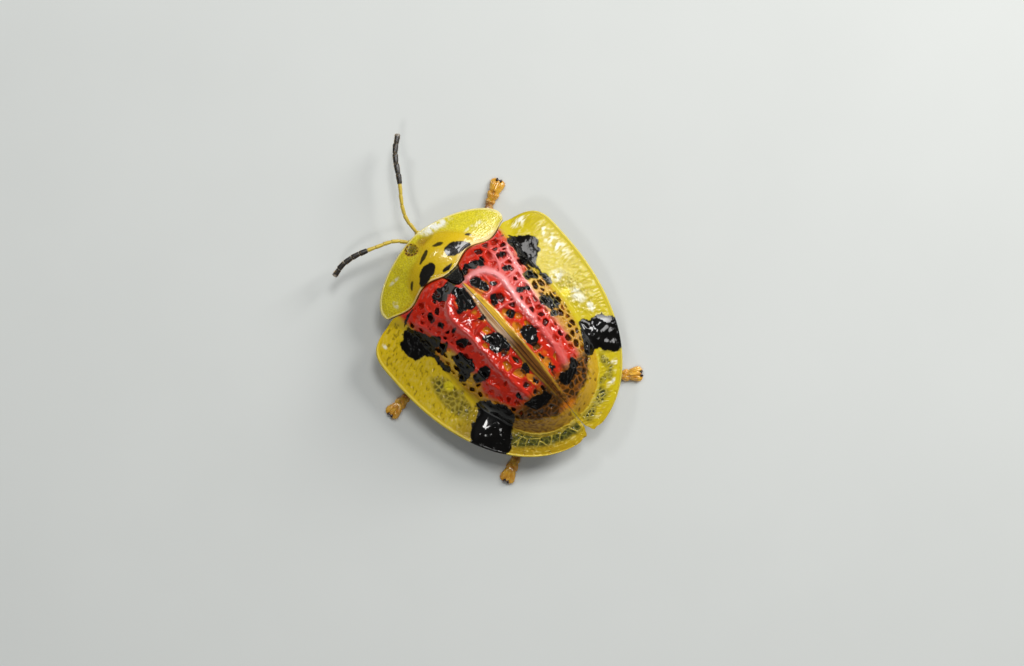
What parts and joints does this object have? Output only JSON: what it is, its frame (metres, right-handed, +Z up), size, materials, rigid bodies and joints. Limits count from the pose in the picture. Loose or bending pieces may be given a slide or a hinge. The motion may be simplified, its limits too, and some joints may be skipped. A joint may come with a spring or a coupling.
{
  "type": "tortoise beetle, still life-size model",
  "caption": "Still, life-size tortoise beetle with wide clear shell margins, a raised pitted red and black disc, short legs and long antennae, standing on its feet.",
  "frame": {"origin": "on the floor, under the middle of the box round the whole beetle, antennae and legs included; the midline of the shell lies to the right of it because the left middle leg is stretched out", "axes": "+Z up, -Y towards the head, +X towards the beetle's left"},
  "size_m": [0.012, 0.017, 0.0049],
  "materials": {
    "wing_case": "glossy, pitted red disc with black patches, clear amber margins",
    "shield": "glossy ochre centre with black spots, clear lemon-yellow margins",
    "black_shell": "glossy black",
    "underside": "dark brown, satin",
    "face": "ochre brown, satin",
    "eye": "golden brown compound eye, glossy",
    "antenna": "yellow, with the last segments black",
    "leg": "orange brown, glossy, dark claws"
  },
  "bodies": {
    "root": {"elytron_left": "wing_case", "elytron_right": "wing_case", "pronotum": "shield", "scutellum": "black_shell", "thorax": "underside", "abdomen": "underside", "head": "face", "mouthparts": "face", "eye_left": "eye", "eye_right": "eye", "antenna_left": "antenna", "antenna_right": "antenna", "leg_front_left": "leg", "leg_front_right": "leg", "leg_middle_left": "leg", "leg_middle_right": "leg", "leg_hind_left": "leg", "leg_hind_right": "leg"}
  },
  "joints": []
}
